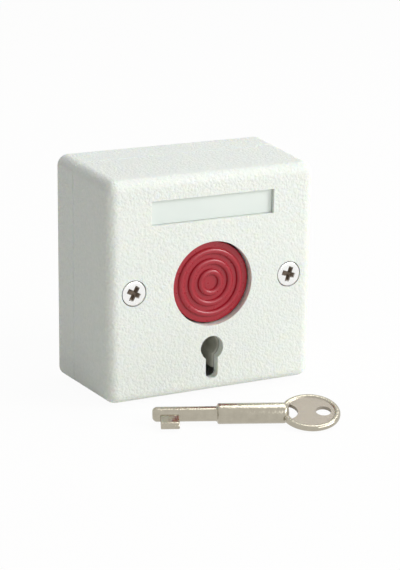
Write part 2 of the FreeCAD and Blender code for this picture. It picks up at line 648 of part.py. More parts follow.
def make_switch_block():
    """Insulating block that holds the four contact strips and their terminals."""
    body = new_body("switch_block")
    wide, low, high = "dims.block_half_width", "-dims.block_bottom", "dims.block_top"
    slabs(body, "block_outline", ((f"-{wide}", low, wide, high),), FLOOR, BLOCK_FRONT)
    hollow_wide, hollow_high = f"({CLOSED_TERMINAL} + dims.cavity_play)", "dims.cavity_half_height"
    hollow = (f"-{hollow_wide}", f"-{hollow_high}", hollow_wide, hollow_high)
    cutouts(body, "bridge_hollow", (hollow,), OPEN_BACK, BLOCK_FRONT)
    well = "dims.retainer_side / 2 + 2 * dims.strip_clearance"
    cutouts(body, "tongue_well", (around(well),), WELL_FLOOR, OPEN_BACK)
    edge = f"({wide} - dims.barrier_thickness)"
    recess = (f"-{edge}", "dims.terminal_bottom", edge, high)
    cutouts(body, "terminal_recess", (recess,), STRIP_BACK, BLOCK_FRONT)
    half = "(dims.strip_width / 2 + dims.strip_clearance)"
    channels = []
    risers = []
    for side, sign in SIDES:
        closed, opened = terminal_place("closed", sign), terminal_place("open", sign)
        low_end = "-dims.bridge_half_height - dims.strip_clearance"
        channels.append((f"{closed} - {half}", low_end, f"{closed} + {half}", "dims.terminal_bottom"))
        channels.append((f"{opened} - {half}", hollow_high, f"{opened} + {half}", "dims.terminal_bottom"))
        riser_top = f"({hollow_high} + dims.strip_thickness + 2 * dims.strip_clearance)"
        risers.append((f"{opened} - {half}", hollow_high, f"{opened} + {half}", riser_top))
    cutouts(body, "strip_channels", channels, STRIP_BACK, BLOCK_FRONT)
    cutouts(body, "strip_risers", risers, OPEN_BACK, STRIP_BACK)
    thick = "dims.barrier_thickness"
    between = f"({OPEN_TERMINAL} + {CLOSED_TERMINAL}) / 2"
    ribs = []
    for place in (f"-({edge} + {thick} / 2)", f"-{between}", "0", between, f"{edge} + {thick} / 2"):
        ribs.append((f"{place} - {thick} / 2", "dims.terminal_bottom + 0.4 * dims.barrier_thickness",
                     f"{place} + {thick} / 2", high))
    slabs(body, "terminal_barriers", ribs, STRIP_BACK, f"({STRIP_BACK} + dims.barrier_height)")
    tip_end = f"({STRIP_FRONT} + dims.clamp_thickness - dims.terminal_length - dims.strip_clearance)"
    tip_half = "(dims.terminal_core_radius + dims.strip_clearance)"
    tips = []
    for place in (f"-{CLOSED_TERMINAL}", f"-{OPEN_TERMINAL}", OPEN_TERMINAL, CLOSED_TERMINAL):
        tips.append((f"{place} - {tip_half}", f"dims.terminal_rise - {tip_half}",
                     f"{place} + {tip_half}", f"dims.terminal_rise + {tip_half}"))
    cutouts(body, "terminal_tips", tips, tip_end, STRIP_BACK)
    return body


def make_contact_strip(kind, side, sign):
    """Brass strip from a contact in the block's hollow up to its terminal."""
    names = {"closed": "closed_contact", "open": "open_contact"}
    body = new_body(f"{names[kind]}_{side}")
    profile = new_sketch(body, f"{body.Name}_profile", role="YZ_Plane")
    low = "-dims.bridge_half_height"
    front, back = f"-{STRIP_FRONT}", f"-{STRIP_BACK}"
    if kind == "closed":
        outline(profile, ((front, low), (back, low), (back, "dims.strip_end"), (front, "dims.strip_end")))
    else:
        bend = "(dims.cavity_half_height + dims.strip_clearance)"
        outer_bend = f"({bend} + dims.strip_thickness)"
        outline(profile, (
            (f"-{OPEN_FRONT}", low), (f"-{OPEN_BACK}", low), (f"-{OPEN_BACK}", outer_bend),
            (back, outer_bend), (back, "dims.strip_end"), (front, "dims.strip_end"),
            (front, bend), (f"-{OPEN_FRONT}", bend),
        ))
    strip = pad(profile, "dims.strip_width")
    strip.Midplane = True
    tapped = "dims.terminal_core_radius + dims.pilot_clearance"
    holes(body, f"{body.Name}_thread", (("0", "dims.terminal_rise"),), tapped, STRIP_BACK, STRIP_FRONT)
    body.setExpression("Placement.Base.x", terminal_place(kind, sign))
    return body


def make_wire_clamp(number_on_row, kind, sign):
    """Forked washer that presses a wire on its strip; the fork is open upwards."""
    body = new_body(f"wire_clamp_{number_on_row}")
    half = "dims.clamp_side / 2"
    fork = "(dims.terminal_core_radius + dims.strip_clearance)"
    sketch = new_sketch(body, f"{body.Name}_outline", STRIP_FRONT)
    outline(sketch, (
        (f"-{half}", f"-{half}"), (half, f"-{half}"), (half, half), (fork, half),
        (fork, f"-{fork}"), (f"-{fork}", f"-{fork}"), (f"-{fork}", half), (f"-{half}", half),
    ))
    pad(sketch, "dims.clamp_thickness")
    body.setExpression("Placement.Base.x", terminal_place(kind, sign))
    body.setExpression("Placement.Base.z", "dims.terminal_rise")
    return body


def make_slotted_screw(label, head_radius, head_height, core, length, place):
    """Cheese-head screw along Y with its head's underside at its own origin."""
    body = new_body(label)
    profile = new_sketch(body, f"{label}_profile", role="XY_Plane")
    outline(profile, (
        ("0", f"-{head_height}"),
        (head_radius, f"-{head_height}"),
        (head_radius, "0"),
        (core, "0"),
        (core, length),
        ("0", length),
    ))
    revolve(profile)
    half = "dims.driver_slot / 2"
    slot = (f"-{head_radius}", f"-{half}", head_radius, half)
    cutouts(body, f"{label}_slot", (slot,), f"{head_height} - dims.driver_slot", head_height)
    across, forward, up = place
    body.setExpression("Placement.Base.x", across)
    body.setExpression("Placement.Base.y", f"-({forward})")
    body.setExpression("Placement.Base.z", up)
    return body


def keyway(sketch, radius, half_width, reach):
    """Outline of a round hole with a straight slot under it."""
    root = f"({KEY_Z} - sqrt(({radius}) ^ 2 - ({half_width}) ^ 2))"
    bottom = f"({KEY_Z} - {reach})"
    centre = Vector(0, number(KEY_Z), 0)
    full, half = number(radius), number(half_width)
    dip = math.asin(half / full)
    ring = Part.Circle(centre, Vector(0, 0, 1), full)
    arc = sketch.addGeometry(Part.ArcOfCircle(ring, dip - math.pi / 2, 1.5 * math.pi - dip))
    corners = ((half_width, root), (half_width, bottom), (f"-({half_width})", bottom), (f"-({half_width})", root))
    points = [Vector(number(across), number(up), 0) for across, up in corners]
    first = sketch.GeometryCount
    for index in range(3):
        sketch.addGeometry(Part.LineSegment(points[index], points[index + 1]))
        pin(sketch, first + index, 1, *corners[index])
    pin(sketch, first + 2, 2, *corners[3])
    sketch.addConstraint(Sketcher.Constraint("Coincident", first, 2, first + 1, 1))
    sketch.addConstraint(Sketcher.Constraint("Coincident", first + 1, 2, first + 2, 1))
    sketch.addConstraint(Sketcher.Constraint("Coincident", arc, 1, first, 1))
    sketch.addConstraint(Sketcher.Constraint("Coincident", arc, 2, first + 2, 2))
    rule = sketch.addConstraint(Sketcher.Constraint("Radius", arc, full))
    sketch.setExpression(f"Constraints[{rule}]", radius)


def make_latch_housing():
    """Dark moulding over the latch; its tower leads the key from the keyhole to the latch."""
    body = new_body("latch_housing")
    wide, high = "dims.block_half_width", "dims.housing_top"
    low = f"({KEY_Z} - {KEYWAY_REACH} - dims.housing_sill)"
    slabs(body, "housing_outline", ((f"-{wide}", low, wide, high),), PLATE_BACK, PLATE_FRONT)
    rail = f"({wide} - dims.rail_width)"
    rail_low = "-dims.block_bottom"
    rails = ((f"-{wide}", rail_low, f"-{rail}", high), (rail, rail_low, wide, high))
    slabs(body, "housing_rails", rails, BLOCK_FRONT, PLATE_BACK)
    rib_edge = "(dims.latch_half_height + dims.latch_gap)"
    rib_end = f"({rib_edge} + dims.guide_rib)"
    arm_left = "(dims.arm_gap - dims.latch_gap)"
    ribs = (
        (f"-{rail}", rib_edge, rail, rib_end),
        (f"-{rail}", f"-{rib_end}", arm_left, f"-{rib_edge}"),
    )
    slabs(body, "latch_guides", ribs, BLOCK_FRONT, PLATE_BACK)
    spring_z = f"({KEY_Z} + dims.latch_spring_rise)"
    spring_room = "(dims.latch_spring_radius + dims.latch_wire / 2 + dims.latch_gap)"
    seat = "dims.spring_seat"
    seat_box = (seat, f"{spring_z} - {spring_room}", f"{seat} + dims.seat_thickness", f"{spring_z} + {spring_room}")
    seat_back = f"({LATCH_BACK} - dims.latch_spring_radius)"
    slabs(body, "spring_seat", (seat_box,), seat_back, PLATE_BACK)
    tower = new_sketch(body, "keyway_tower", PLATE_FRONT)
    outer_half = f"({KEYWAY_HALF} + dims.tower_wall)"
    keyway(tower, f"({SLEEVE_BORE} + dims.tower_wall)", outer_half, KEYWAY_REACH)
    pad(tower, f"{TOWER_FRONT} - {PLATE_FRONT}")
    shaft = new_sketch(body, "keyway", TOWER_FRONT)
    keyway(shaft, SHAFT_BORE, KEYWAY_HALF, KEYWAY_REACH)
    pocket(shaft, f"{TOWER_FRONT} - {PLATE_BACK}")
    holes(body, "sleeve_bore", (("0", KEY_Z),), SLEEVE_BORE, KEY_STOP, TOWER_FRONT)
    window = "dims.stem_width / 2 + dims.stem_clearance"
    window_high = "dims.stem_height / 2 + dims.stem_clearance"
    stem_window = (f"-({window})", f"-({window_high})", window, window_high)
    spring_window = (
        "dims.arm_gap + dims.arm_width", f"{spring_z} - {spring_room}", seat, f"{spring_z} + {spring_room}"
    )
    cutouts(body, "housing_windows", (stem_window, spring_window), PLATE_BACK, PLATE_FRONT)
    fixings = pair("dims.fixing_spacing / 2", "-dims.fixing_drop")
    holes(body, "fixing_holes", fixings, "dims.fixing_hole_radius", PLATE_BACK, PLATE_FRONT)
    return body


def make_latch_slide():
    """Steel frame round the stem with an arm beside the key's bit."""
    body = new_body("latch_slide")
    inner_right = "(dims.stem_width / 2 + dims.latch_play)"
    outer_right = f"({inner_right} + dims.latch_bar)"
    inner_left = "(dims.stem_width / 2 + dims.latch_travel + dims.latch_play)"
    outer_left = f"({inner_left} + dims.latch_back_bar)"
    high = "dims.latch_half_height"
    arm_left = "dims.arm_gap"
    arm_right = "(dims.arm_gap + dims.arm_width)"
    arm_end = f"({KEY_Z} - dims.arm_reach)"
    spring_z = f"({KEY_Z} + dims.latch_spring_rise)"
    nose = "(dims.latch_thickness / 2)"
    nose_end = f"({arm_right} + dims.latch_spring_radius)"
    frame = new_sketch(body, "latch_outline", LATCH_BACK)
    outline(frame, (
        (f"-{outer_left}", f"-{high}"), (arm_left, f"-{high}"), (arm_left, arm_end),
        (arm_right, arm_end), (arm_right, f"{spring_z} - {nose}"), (nose_end, f"{spring_z} - {nose}"),
        (nose_end, f"{spring_z} + {nose}"), (arm_right, f"{spring_z} + {nose}"), (arm_right, f"-{high}"),
        (outer_right, f"-{high}"), (outer_right, high), (f"-{outer_left}", high),
    ))
    window_high = "(dims.stem_height / 2 + dims.latch_gap)"
    rectangle(frame, f"-{inner_left}", f"-{window_high}", inner_right, window_high)
    pad(frame, "dims.latch_thickness")
    return body


def coil(label, mean_radius, wire, length, turns, pieces, place, axis_turn):
    """Compression spring: a wire of hexagonal section swept along a helix of straight pieces."""
    radius, thickness = number(mean_radius), number(wire)
    rise = number(length) - thickness
    steps = int(number(turns)) * int(number(pieces))
    turn = 2 * math.pi / int(number(pieces))
    path = [
        Vector(
            radius * math.cos(turn * step),
            radius * math.sin(turn * step),
            thickness / 2 + rise * step / steps,
        )
        for step in range(steps + 1)
    ]
    spine = Part.makePolygon(path)
    start = FreeCAD.Rotation(Vector(0, 0, 1), path[1] - path[0])
    corners = [
        path[0] + start.multVec(Vector(math.cos(angle), math.sin(angle), 0) * (thickness / 2))
        for angle in (math.pi / 3 * corner for corner in range(7))
    ]
    section = Part.makePolygon(corners)
    spring = doc.addObject("Part::Feature", label)
    spring.Label = label
    spring.Shape = spine.makePipeShell([section], True, False, 1)
    spring.Placement = FreeCAD.Placement(Vector(*[number(value) for value in place]), axis_turn)
    return spring


def make_return_spring():
    """Spring that pushes the button out, between the housing's plate and the cap."""
    length = f"{CAP_INSIDE} - {PLATE_FRONT} - 2 * dims.spring_end_gap"
    place = ("0", f"-({PLATE_FRONT} + dims.spring_end_gap)", "0")
    towards_front = FreeCAD.Rotation(Vector(1, 0, 0), 90)
    shape = ("dims.return_radius", "dims.return_wire", length, "dims.return_turns", "dims.return_pieces")
    return coil("return_spring", *shape, place, towards_front)


def make_latch_spring():
    """Small spring that pushes the latch towards the stem's notch."""
    start = "dims.arm_gap + dims.arm_width + dims.spring_end_gap"
    length = f"dims.spring_seat - dims.spring_end_gap - ({start})"
    middle = f"-({LATCH_BACK} + dims.latch_thickness / 2)"
    place = (start, middle, f"{KEY_Z} + dims.latch_spring_rise")
    towards_right = FreeCAD.Rotation(Vector(0, 1, 0), 90)
    shape = ("dims.latch_spring_radius", "dims.latch_wire", length, "dims.latch_turns", "dims.latch_pieces")
    return coil("latch_spring", *shape, place, towards_right)


def make_reset_key():
    """Round key in its own frame: tip at the origin, shaft along X, bit towards -Y, bow in XY."""
    body = new_body("reset_key")
    profile = new_sketch(body, "key_profile", role="XY_Plane")
    thin, thick = "dims.shaft_radius", "dims.key_sleeve_radius"
    outline(profile, (
        ("0", "0"),
        ("0", thin),
        ("dims.shaft_length", thin),
        ("dims.shaft_length", thick),
        ("dims.key_sleeve_end", thick),
        ("dims.key_sleeve_end", "0"),
    ))
    revolve(profile, axis="H_Axis")
    rim = new_sketch(body, "bow_outline", role="XY_Plane")
    circle(rim, "dims.key_length - dims.bow_radius", "0", "dims.bow_radius")
    disc = pad(rim, "dims.bow_thickness")
    disc.Midplane = True
    neck = new_sketch(body, "bow_neck", role="XY_Plane")
    neck_half = "dims.neck_width / 2"
    neck_start, neck_stop = "dims.key_sleeve_end - dims.neck_root", "dims.key_sleeve_end + dims.neck_end"
    rectangle(neck, neck_start, f"-{neck_half}", neck_stop, neck_half)
    bridge = pad(neck, "dims.bow_thickness")
    bridge.Midplane = True
    ring_hole = new_sketch(body, "ring_hole", "dims.bow_thickness", role="XY_Plane")
    circle(ring_hole, "dims.key_length - dims.ring_hole_inset", "0", "dims.ring_hole_radius")
    circle(ring_hole, "dims.key_sleeve_end + dims.root_hole_radius / 2", "0", "dims.root_hole_radius")
    pocket(ring_hole, "2 * dims.bow_thickness")
    bit = new_sketch(body, "bit_outline", role="XY_Plane")
    end = "(dims.bit_start + dims.bit_length)"
    rectangle(bit, "dims.bit_start", "-dims.bit_reach", end, "0")
    blade = pad(bit, "dims.bit_thickness")
    blade.Midplane = True
    reach = number("dims.bit_reach")
    tips = edges_where(blade, lambda edge: edge.BoundBox.YMax < -reach + 1e-4)
    dress(blade, "PartDesign::Chamfer", "dims.bit_chamfer", tips)
    rest_on_floor(body)
    return body


def rest_on_floor(key):
    """Lay the key on the surface that the box stands on, on its sleeve and the bow's near edge."""
    sleeve, bow, half = (number(f"dims.{name}") for name in ("key_sleeve_radius", "bow_radius", "bow_thickness"))
    half = half / 2
    roll = math.asin(sleeve / math.hypot(bow, half)) - math.atan2(half, bow)
    floor = -number("dims.width") / 2
    rolled = FreeCAD.Rotation(Vector(1, 0, 0), math.degrees(roll))
    turned = FreeCAD.Rotation(Vector(0, 0, 1), number("dims.key_angle"))
    place = Vector(-number("dims.key_across"), -number("dims.key_forward"), floor + sleeve)
    key.Placement = FreeCAD.Placement(place, turned.multiply(rolled))


def make_parts():
    parts = [make_base(), make_front_cover(), make_label(), make_push_button()]
    parts += [make_contact_bridge(), make_bridge_retainer(), make_switch_block()]
    parts += [make_latch_housing(), make_latch_slide(), make_return_spring(), make_latch_spring()]
    for side, sign in SIDES:
        parts.append(make_cover_screw(side, sign))
        parts.append(make_contact_strip("closed", side, sign))
        parts.append(make_contact_strip("open", side, sign))
    clamp_top = f"{STRIP_FRONT} + dims.clamp_thickness"
    head = ("dims.terminal_head_radius", "dims.terminal_head_height")
    terminals = (("closed", "-1"), ("open", "-1"), ("open", "1"), ("closed", "1"))
    for place, (kind, sign) in enumerate(terminals, start=1):
        parts.append(make_wire_clamp(place, kind, sign))
        spot = (terminal_place(kind, sign), clamp_top, "dims.terminal_rise")
        core, length = "dims.terminal_core_radius", "dims.terminal_length"
        parts.append(make_slotted_screw(f"terminal_screw_{place}", *head, core, length, spot))
    head = ("dims.fixing_head_radius", "dims.fixing_head_height")
    core, length = "dims.fixing_radius", "dims.fixing_length"
    for side, sign in SIDES:
        spot = (f"{sign} * dims.fixing_spacing / 2", PLATE_FRONT, "-dims.fixing_drop")
        parts.append(make_slotted_screw(f"housing_screw_{side}", *head, core, length, spot))
    parts.append(make_reset_key())
    return parts


def check(parts):
    """Stop on a failed object, a bad solid or a cut that removes nothing."""
    doc.recompute()
    for item in doc.Objects:
        if {"Invalid", "Error"} & set(item.State):
            raise RuntimeError(f"{item.Label} failed: {item.State}")
        if item.TypeId in ("PartDesign::Pocket", "PartDesign::Groove", "PartDesign::Chamfer"):
            if item.Shape.Volume > item.BaseFeature.Shape.Volume - 1e-4:
                raise RuntimeError(f"{item.Label} cuts nothing")
    for part in parts:
        if part.Shape.isNull() or not part.Shape.isValid() or len(part.Shape.Solids) != 1:
            raise RuntimeError(f"{part.Label} is not one valid solid")


def write(parts):
    os.makedirs("parts", exist_ok=True)
    for part in parts:
        part.Shape.exportStep(os.path.join("parts", f"{part.Label}.step"))
        box = part.Shape.BoundBox
        print(f"{part.Label}: volume {part.Shape.Volume:.1f}, Y {box.YMin:.2f} to {box.YMax:.2f}")


all_parts = make_parts()
check(all_parts)
write(all_parts)
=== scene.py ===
# %% [markdown]
# A panic button for an alarm system: a square white plastic box on the wall,
# with a red button in the middle, a label strip above it and a keyhole below.
# The key that resets it lies in front of the lower left corner.
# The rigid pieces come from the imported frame; this scene gives them their
# surfaces, their light and the small forms that only show close up.

# %% Load the frame
import json
import math

import bmesh
import bpy
from mathutils import Matrix, Vector


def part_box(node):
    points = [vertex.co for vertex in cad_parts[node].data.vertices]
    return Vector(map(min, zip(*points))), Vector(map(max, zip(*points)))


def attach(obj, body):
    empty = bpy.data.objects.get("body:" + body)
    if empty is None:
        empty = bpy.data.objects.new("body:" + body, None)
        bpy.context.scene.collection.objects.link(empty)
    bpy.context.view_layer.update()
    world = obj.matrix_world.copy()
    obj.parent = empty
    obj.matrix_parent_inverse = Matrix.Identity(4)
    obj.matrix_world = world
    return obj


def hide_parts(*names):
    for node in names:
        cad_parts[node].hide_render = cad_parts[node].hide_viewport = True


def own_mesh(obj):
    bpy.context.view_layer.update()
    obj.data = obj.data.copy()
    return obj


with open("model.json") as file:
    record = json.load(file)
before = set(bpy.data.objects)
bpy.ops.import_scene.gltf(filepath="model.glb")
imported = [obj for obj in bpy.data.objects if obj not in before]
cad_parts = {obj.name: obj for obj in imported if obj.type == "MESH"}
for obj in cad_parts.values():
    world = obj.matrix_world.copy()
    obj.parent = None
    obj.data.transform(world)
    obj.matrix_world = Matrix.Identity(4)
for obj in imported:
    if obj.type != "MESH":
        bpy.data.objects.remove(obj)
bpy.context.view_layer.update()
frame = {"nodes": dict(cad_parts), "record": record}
nodes = frame["nodes"]
print("nodes:", len(nodes))

# %% [markdown]
# The camera stands to the left of the box and above it and looks down on it a
# little, so that the front, the top and the left side all show. Its place and
# angles were fitted to the edges of the box, and a long lens keeps them nearly parallel.

# %% Camera
CAMERA_PLACE = Vector((-0.1846197, -0.3895676, 0.1193406))
YAW, PITCH, ROLL = math.radians(-26.562), math.radians(16.385), math.radians(0.70)
LENS = 119.09

camera_data = bpy.data.cameras.new("camera")
camera_data.sensor_width = 36
camera_data.lens = LENS
camera_data.clip_start = 0.01
camera = bpy.data.objects.new("camera", camera_data)
bpy.context.scene.collection.objects.link(camera)
aim = Matrix.Rotation(YAW, 4, "Z") @ Matrix.Rotation(math.pi / 2 - PITCH, 4, "X")
camera.matrix_world = Matrix.Translation(CAMERA_PLACE) @ aim @ Matrix.Rotation(ROLL, 4, "Z")
bpy.context.scene.camera = camera
print("camera at", [round(v, 3) for v in camera.location])

# %% [markdown]
# A material is a small graph of nodes. `Value` is one output in such a graph:
# plain arithmetic on it adds the Math nodes, so a formula reads as a formula.

# %% Arithmetic for material graphs
class Value:
    def __init__(self, tree, output):
        self.tree, self.output = tree, output

    def math(self, operation, *terms):
        node = self.tree.nodes.new("ShaderNodeMath")
        node.operation = operation
        for slot, term in zip(node.inputs, terms):
            put(self.tree, slot, term)
        return Value(self.tree, node.outputs[0])

    def __add__(self, other):
        return self.math("ADD", self, other)

    def __mul__(self, other):
        return self.math("MULTIPLY", self, other)

    def __sub__(self, other):
        return self.math("SUBTRACT", self, other)

    def __rsub__(self, other):
        return self.math("SUBTRACT", other, self)

    __radd__, __rmul__ = __add__, __mul__

    def limited(self, low=0.0, high=1.0):
        return self.math("MINIMUM", self.math("MAXIMUM", self, low), high)


def put(tree, slot, value):
    if isinstance(value, Value):
        tree.links.new(value.output, slot)
    else:
        slot.default_value = value


def add_node(tree, kind, settings=None, output=0, **inputs):
    """Add a shader node and return the output that is wanted."""
    node = tree.nodes.new("ShaderNode" + kind)
    for key, value in (settings or {}).items():
        setattr(node, key, value)
    for name, value in inputs.items():
        put(tree, node.inputs[name.replace("_", " ")], value)
    return Value(tree, node.outputs[output])


# %% [markdown]
# `Surface` makes one material. Its pattern is laid out on Object coordinates,
# in metres, so the grain of a moulding keeps its true size on every piece.

# %% One material
class Surface:
    def __init__(self, name, **constants):
        self.material = bpy.data.materials.new(name)
        self.material.use_nodes = True
        self.tree = self.material.node_tree
        self.shader = self.tree.nodes["Principled BSDF"]
        for socket, value in constants.items():
            self.shader.inputs[socket.replace("_", " ")].default_value = value
        self.place = self.node("TexCoord", output="Object")

    def node(self, kind, settings=None, output=0, **inputs):
        return add_node(self.tree, kind, settings, output, **inputs)

    def noise(self, scale, detail=2.0):
        return self.node("TexNoise", Vector=self.place, Scale=scale, Detail=detail)

    def cells(self, scale):
        return self.node("TexVoronoi", {"feature": "SMOOTH_F1"}, Vector=self.place, Scale=scale)

    def mix(self, share, first, second):
        node = self.tree.nodes.new("ShaderNodeMix")
        node.data_type = "RGBA"
        for index, value in ((0, share), (6, first), (7, second)):
            put(self.tree, node.inputs[index], value)
        return Value(self.tree, node.outputs[2])

    def bump(self, height, strength, distance):
        return self.node("Bump", Height=height, Strength=strength, Distance=distance)

    def set(self, **sockets):
        for name, value in sockets.items():
            put(self.tree, self.shader.inputs[name.replace("_", " ")], value)


def colour(red, green, blue):
    """Linear colour from the 0 to 255 values of a screen."""
    def linear(v):
        v = v / 255
        return v / 12.92 if v <= 0.04045 else ((v + 0.055) / 1.055) ** 2.4
    return (linear(red), linear(green), linear(blue), 1.0)


# %% [markdown]
# The box is moulded in white plastic with a spark-eroded grain: cells about two
# thirds of a millimetre wide with finer pits between them. It could be modelled, but a bump
# gives the same light and shade with no triangles. A little light goes into the
# plastic. The label is smoother, the red button glossier, the keyway duller.

# %% Plastics
white = Surface("white_plastic", Specular_IOR_Level=0.4, Subsurface_Weight=0.3,
                Subsurface_Radius=(1.0, 0.65, 0.3), Subsurface_Scale=0.0014)
grain = white.cells(1500) * 0.6 + white.noise(2300, 2) * 0.9
speck = white.noise(1300, 2)
cloud = white.noise(60, 2)
white.set(
    Base_Color=white.mix((speck * 0.9 + cloud * 0.3 - 0.1).limited(),
                         colour(222, 228, 222), colour(240, 243, 238)),
    Roughness=0.5 + 0.18 * white.noise(700, 2),
    Normal=white.bump(grain, 0.8, 0.00023),
)

label = Surface("label_plastic", Specular_IOR_Level=0.5)
label.set(
    Base_Color=label.mix(label.noise(90, 2), colour(219, 228, 224), colour(229, 235, 230)),
    Roughness=0.3 + 0.1 * label.noise(300, 2),
    Normal=label.bump(label.noise(900, 2), 0.05, 0.00004),
)

red = Surface("red_plastic", Specular_IOR_Level=0.65)
red_grain = red.noise(2600, 3)
red.set(
    Base_Color=red.mix(red.noise(1500, 2), colour(148, 10, 30), colour(174, 16, 40)),
    Roughness=0.22 + 0.16 * red.noise(900, 2),
    Normal=red.bump(red_grain, 0.25, 0.00005),
)

dark = Surface("dark_plastic", Specular_IOR_Level=0.4)
dark.set(
    Base_Color=dark.mix(dark.noise(400, 2), colour(184, 184, 173), colour(200, 200, 189)),
    Roughness=0.45 + 0.15 * dark.noise(800, 2),
    Normal=dark.bump(dark.noise(1500, 3), 0.2, 0.00006),
)
print("plastics:", white.material.name, label.material.name, red.material.name, dark.material.name)

# %% [markdown]
# The metals have small pits and a slightly uneven polish: nickel on the key, zinc
# on the cover screws, and plain steel, brass and bronze inside. The middle of the
# key's bow is matt, and the screws' cross recesses are painted a dull dark brown,
# a painted shade for the dark inside the cross. Both are found by place.

# %% Metals
def metal(name, pale, deep, roughness, pits):
    surface = Surface(name, Metallic=1.0)
    wear = surface.noise(700, 3)
    fine = surface.noise(2400, 2)
    surface.set(
        Base_Color=surface.mix(wear, colour(*deep), colour(*pale)),
        Roughness=roughness + 0.12 * fine,
        Normal=surface.bump(fine + 0.5 * wear, pits, 0.00006),
    )
    return surface


BOW_MIDDLE, MATT_RADIUS = (0.01171, -0.05187, -0.0242), 0.0056
nickel = metal("nickel", (186, 180, 164), (166, 160, 145), 0.1, 0.9)
from_bow = nickel.node("VectorMath", {"operation": "DISTANCE"}, 1)
put(nickel.tree, from_bow.output.node.inputs[0], nickel.place)
put(nickel.tree, from_bow.output.node.inputs[1], BOW_MIDDLE)
matt = ((MATT_RADIUS - from_bow) * 3000).limited()
plated = nickel.mix(nickel.noise(700, 3), colour(166, 160, 145), colour(186, 180, 164))
nickel.set(
    Base_Color=nickel.mix(matt, plated, colour(168, 160, 147)),
    Metallic=1 - 0.6 * matt,
    Roughness=0.1 + 0.3 * matt + 0.12 * nickel.noise(2400, 2),
)

RECESS_START = 0.02675
zinc = metal("zinc", (250, 250, 248), (238, 238, 236), 0.14, 0.3)
depth = zinc.node("SeparateXYZ", output=1, Vector=zinc.place)
# Painted shade: below the head's top the cross recess turns dull dark brown, standing in for the shade
# inside it.
painted_recess_shade = ((depth + RECESS_START) * 3500).limited()
bright = zinc.mix(zinc.noise(700, 3), colour(238, 238, 236), colour(250, 250, 248))
zinc.set(
    Base_Color=zinc.mix(painted_recess_shade, bright, colour(118, 104, 90)),
    Metallic=1 - 0.75 * painted_recess_shade,
    Roughness=0.14 + 0.25 * painted_recess_shade + 0.12 * zinc.noise(2400, 2),
)

steel = metal("steel", (196, 196, 196), (168, 168, 170), 0.25, 0.2)
brass = metal("brass", (214, 180, 104), (188, 150, 78), 0.25, 0.2)
bronze = metal("spring_bronze", (204, 150, 96), (170, 118, 72), 0.28, 0.2)

print("metals: nickel, zinc, steel, brass, bronze")

# %% [markdown]
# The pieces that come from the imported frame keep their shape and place. Each gets
# the surface that its record names.

# %% Surfaces of the carried pieces
surfaces = {
    "white_plastic": white, "label_plastic": label, "red_plastic": red, "dark_plastic": dark,
    "nickel": nickel, "steel": steel, "brass": brass, "spring_bronze": bronze,
}
slots = {part["node"]: part["material_slot"] for part in frame["record"]["subparts"]}
for name, carried in nodes.items():
    carried.data.materials.clear()
    carried.data.materials.append(surfaces[slots[name]].material)
print("finished nodes:", sorted(set(slots.values())))

# %% [markdown]
# Pieces are drawn in millimetres and brought to metres at the end. A piece is
# closed, its faces look outward, and its edges stay sharp only where two faces
# really meet at an angle.

# %% Helpers for the pieces
MM = Matrix.Scale(0.001, 4)


def finished(name, mesh, surface, body, replaced, place=None, sharp=35):
    bmesh.ops.remove_doubles(mesh, verts=mesh.verts, dist=1e-5)
    bmesh.ops.transform(mesh, matrix=MM @ (place or Matrix.Identity(4)), verts=mesh.verts)
    bmesh.ops.recalc_face_normals(mesh, faces=mesh.faces)
    data = bpy.data.meshes.new(name)
    mesh.to_mesh(data)
    mesh.free()
    data.shade_smooth()
    data.set_sharp_from_angle(angle=math.radians(sharp))
    data.materials.append(surfaces[surface].material)
    piece = bpy.data.objects.new(name, data)
    bpy.context.scene.collection.objects.link(piece)
    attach(piece, body)
    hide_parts(replaced)
    print(name, len(data.polygons), "faces")
    return piece


def turned(mesh, profile, axis=(0, 1, 0), steps=96):
    """Spin a closed profile, points in the XY plane, round an axis through the origin."""
    ring = [mesh.verts.new((x, y, 0)) for x, y in profile]
    edges = [mesh.edges.new((ring[i], ring[i + 1])) for i in range(len(ring) - 1)]
    bmesh.ops.spin(mesh, geom=ring + edges, cent=(0, 0, 0), axis=axis, angle=2 * math.pi,
                   steps=steps, use_merge=True, use_duplicate=False)
    bmesh.ops.remove_doubles(mesh, verts=mesh.verts, dist=1e-5)


def softened(corners, radius, steps=4):
    """Round the inner corners of an open profile; the first and last point stay."""
    points = [corners[0]]
    for before, corner, after in zip(corners, corners[1:], corners[2:]):
        here = Vector(corner)
        back, on = Vector(before) - here, Vector(after) - here
        reach = min(radius, back.length * 0.45, on.length * 0.45)
        start, end = here + back.normalized() * reach, here + on.normalized() * reach
        for step in range(steps + 1):
            t = step / steps
            points.append(tuple(start * (1 - t) ** 2 + here * 2 * t * (1 - t) + end * t ** 2))
    points.append(corners[-1])
    return points


def block(mesh, low, high):
    """A box between two corners."""
    low, high = Vector(low), Vector(high)
    made = bmesh.ops.create_cube(mesh, size=1)["verts"]
    for vertex in made:
        vertex.co = Vector((v + 0.5) * (b - a) + a for v, a, b in zip(vertex.co, low, high))
    return made


# %% [markdown]
# The button's face carries three raised rings with round tops, so a finger
# doesn't slip. They could be joined on one by one, but turning the face, the
# skirt and the flange behind the cover as one shell leaves no seams. The rings'
# width is read from the photograph. Their height is a guess that comes near the
# light and shade seen there. The stem with its latch notch stands inside.

